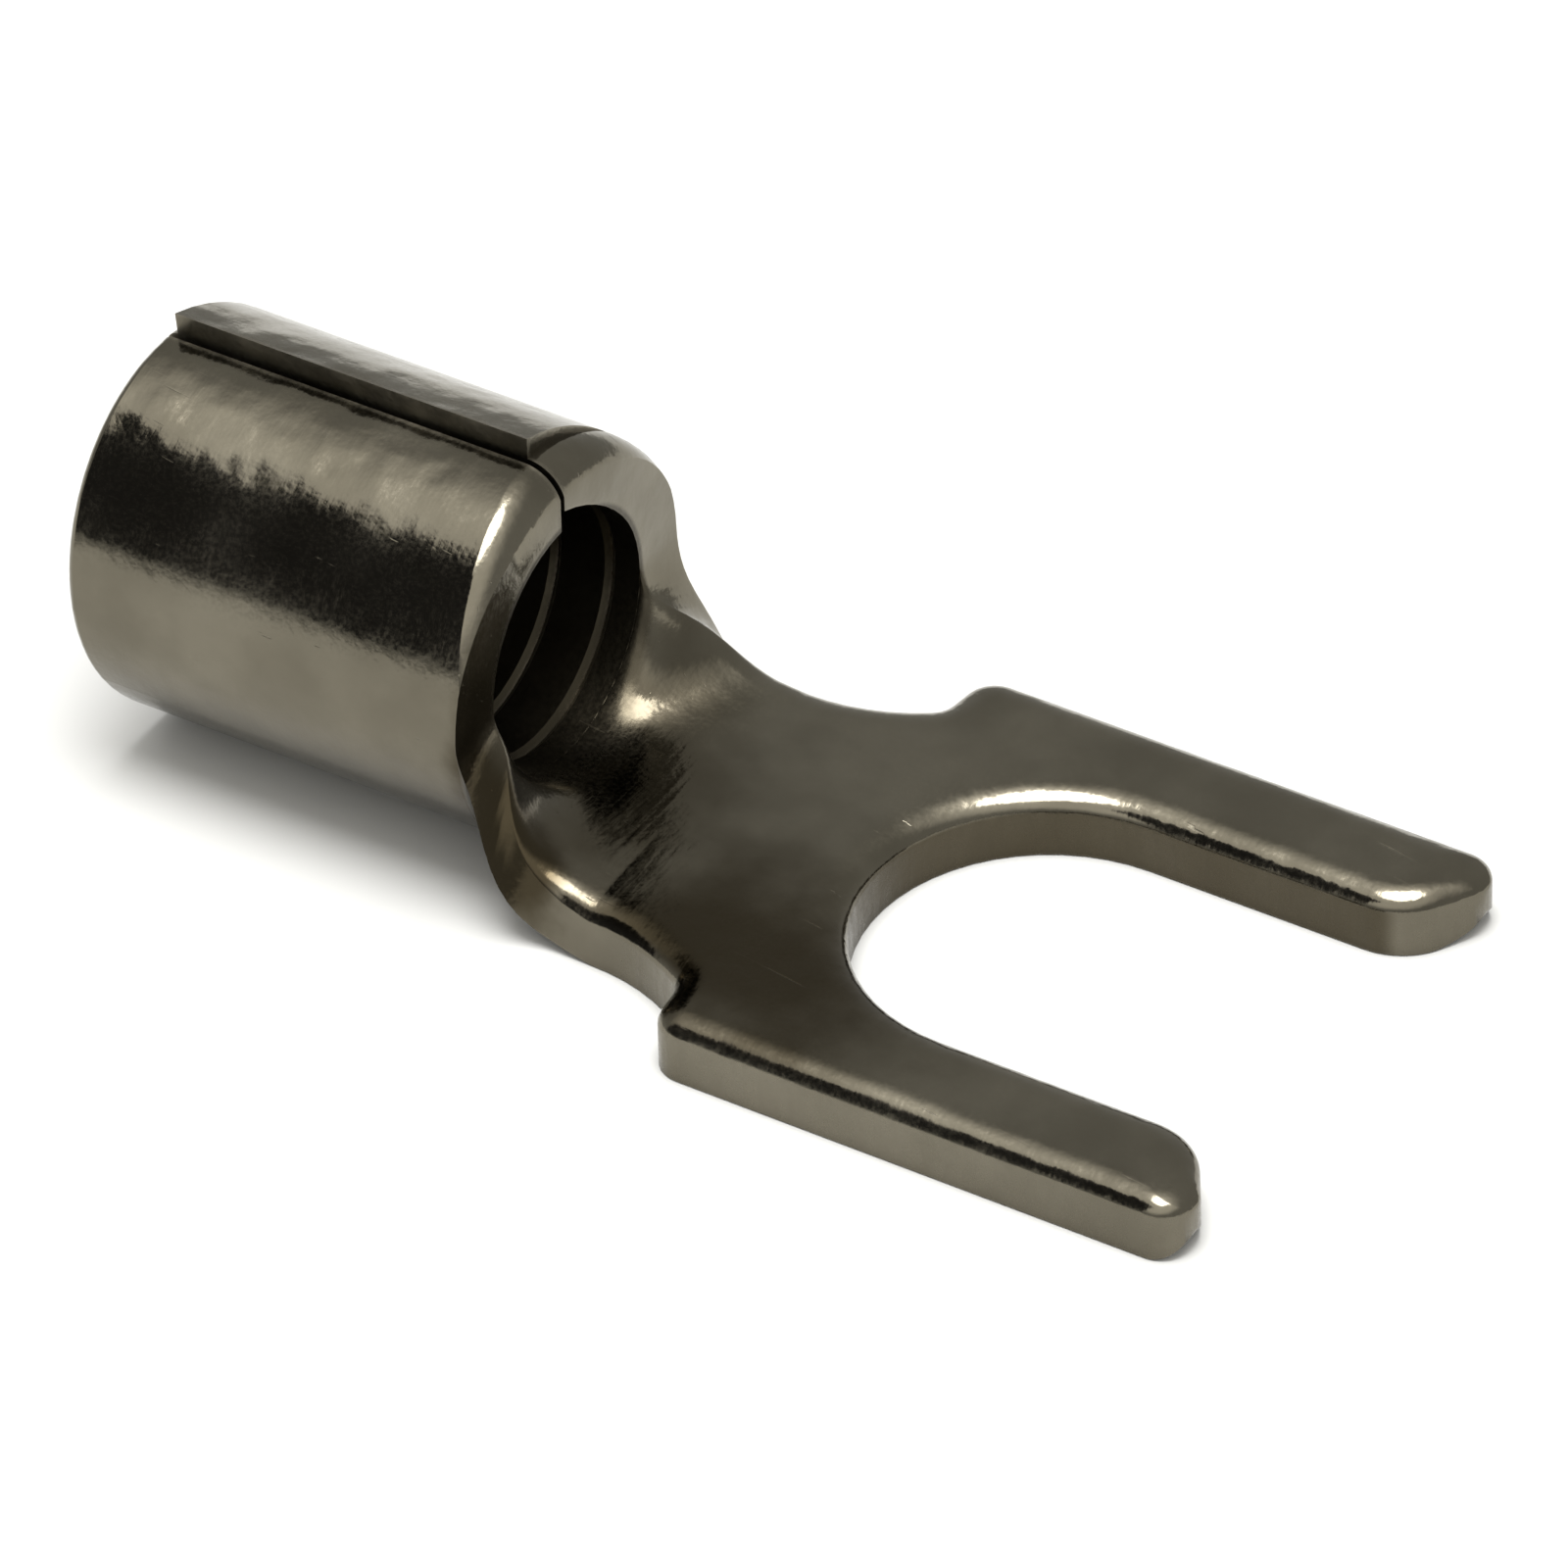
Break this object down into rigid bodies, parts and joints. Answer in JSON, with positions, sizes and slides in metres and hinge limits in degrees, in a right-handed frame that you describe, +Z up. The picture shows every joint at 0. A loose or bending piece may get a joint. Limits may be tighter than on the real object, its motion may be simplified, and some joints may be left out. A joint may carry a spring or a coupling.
{
  "type": "block spade terminal",
  "caption": "Bare crimp terminal rolled from one tin-plated copper sheet: a short serrated barrel with a butted seam on top and a flat forked tongue with square shoulders.",
  "frame": {"origin": "on the middle of the tongue's underside, level with its shoulders", "axes": "+X along the barrel towards the tines, +Z up from the underside to the seam, +Y across the tongue"},
  "size_m": [0.0195, 0.0092, 0.0062],
  "materials": {
    "tinned_copper": "tin-plated copper, satin, with fine handling marks"
  },
  "bodies": {
    "root": {"terminal": "tinned_copper"}
  },
  "joints": []
}
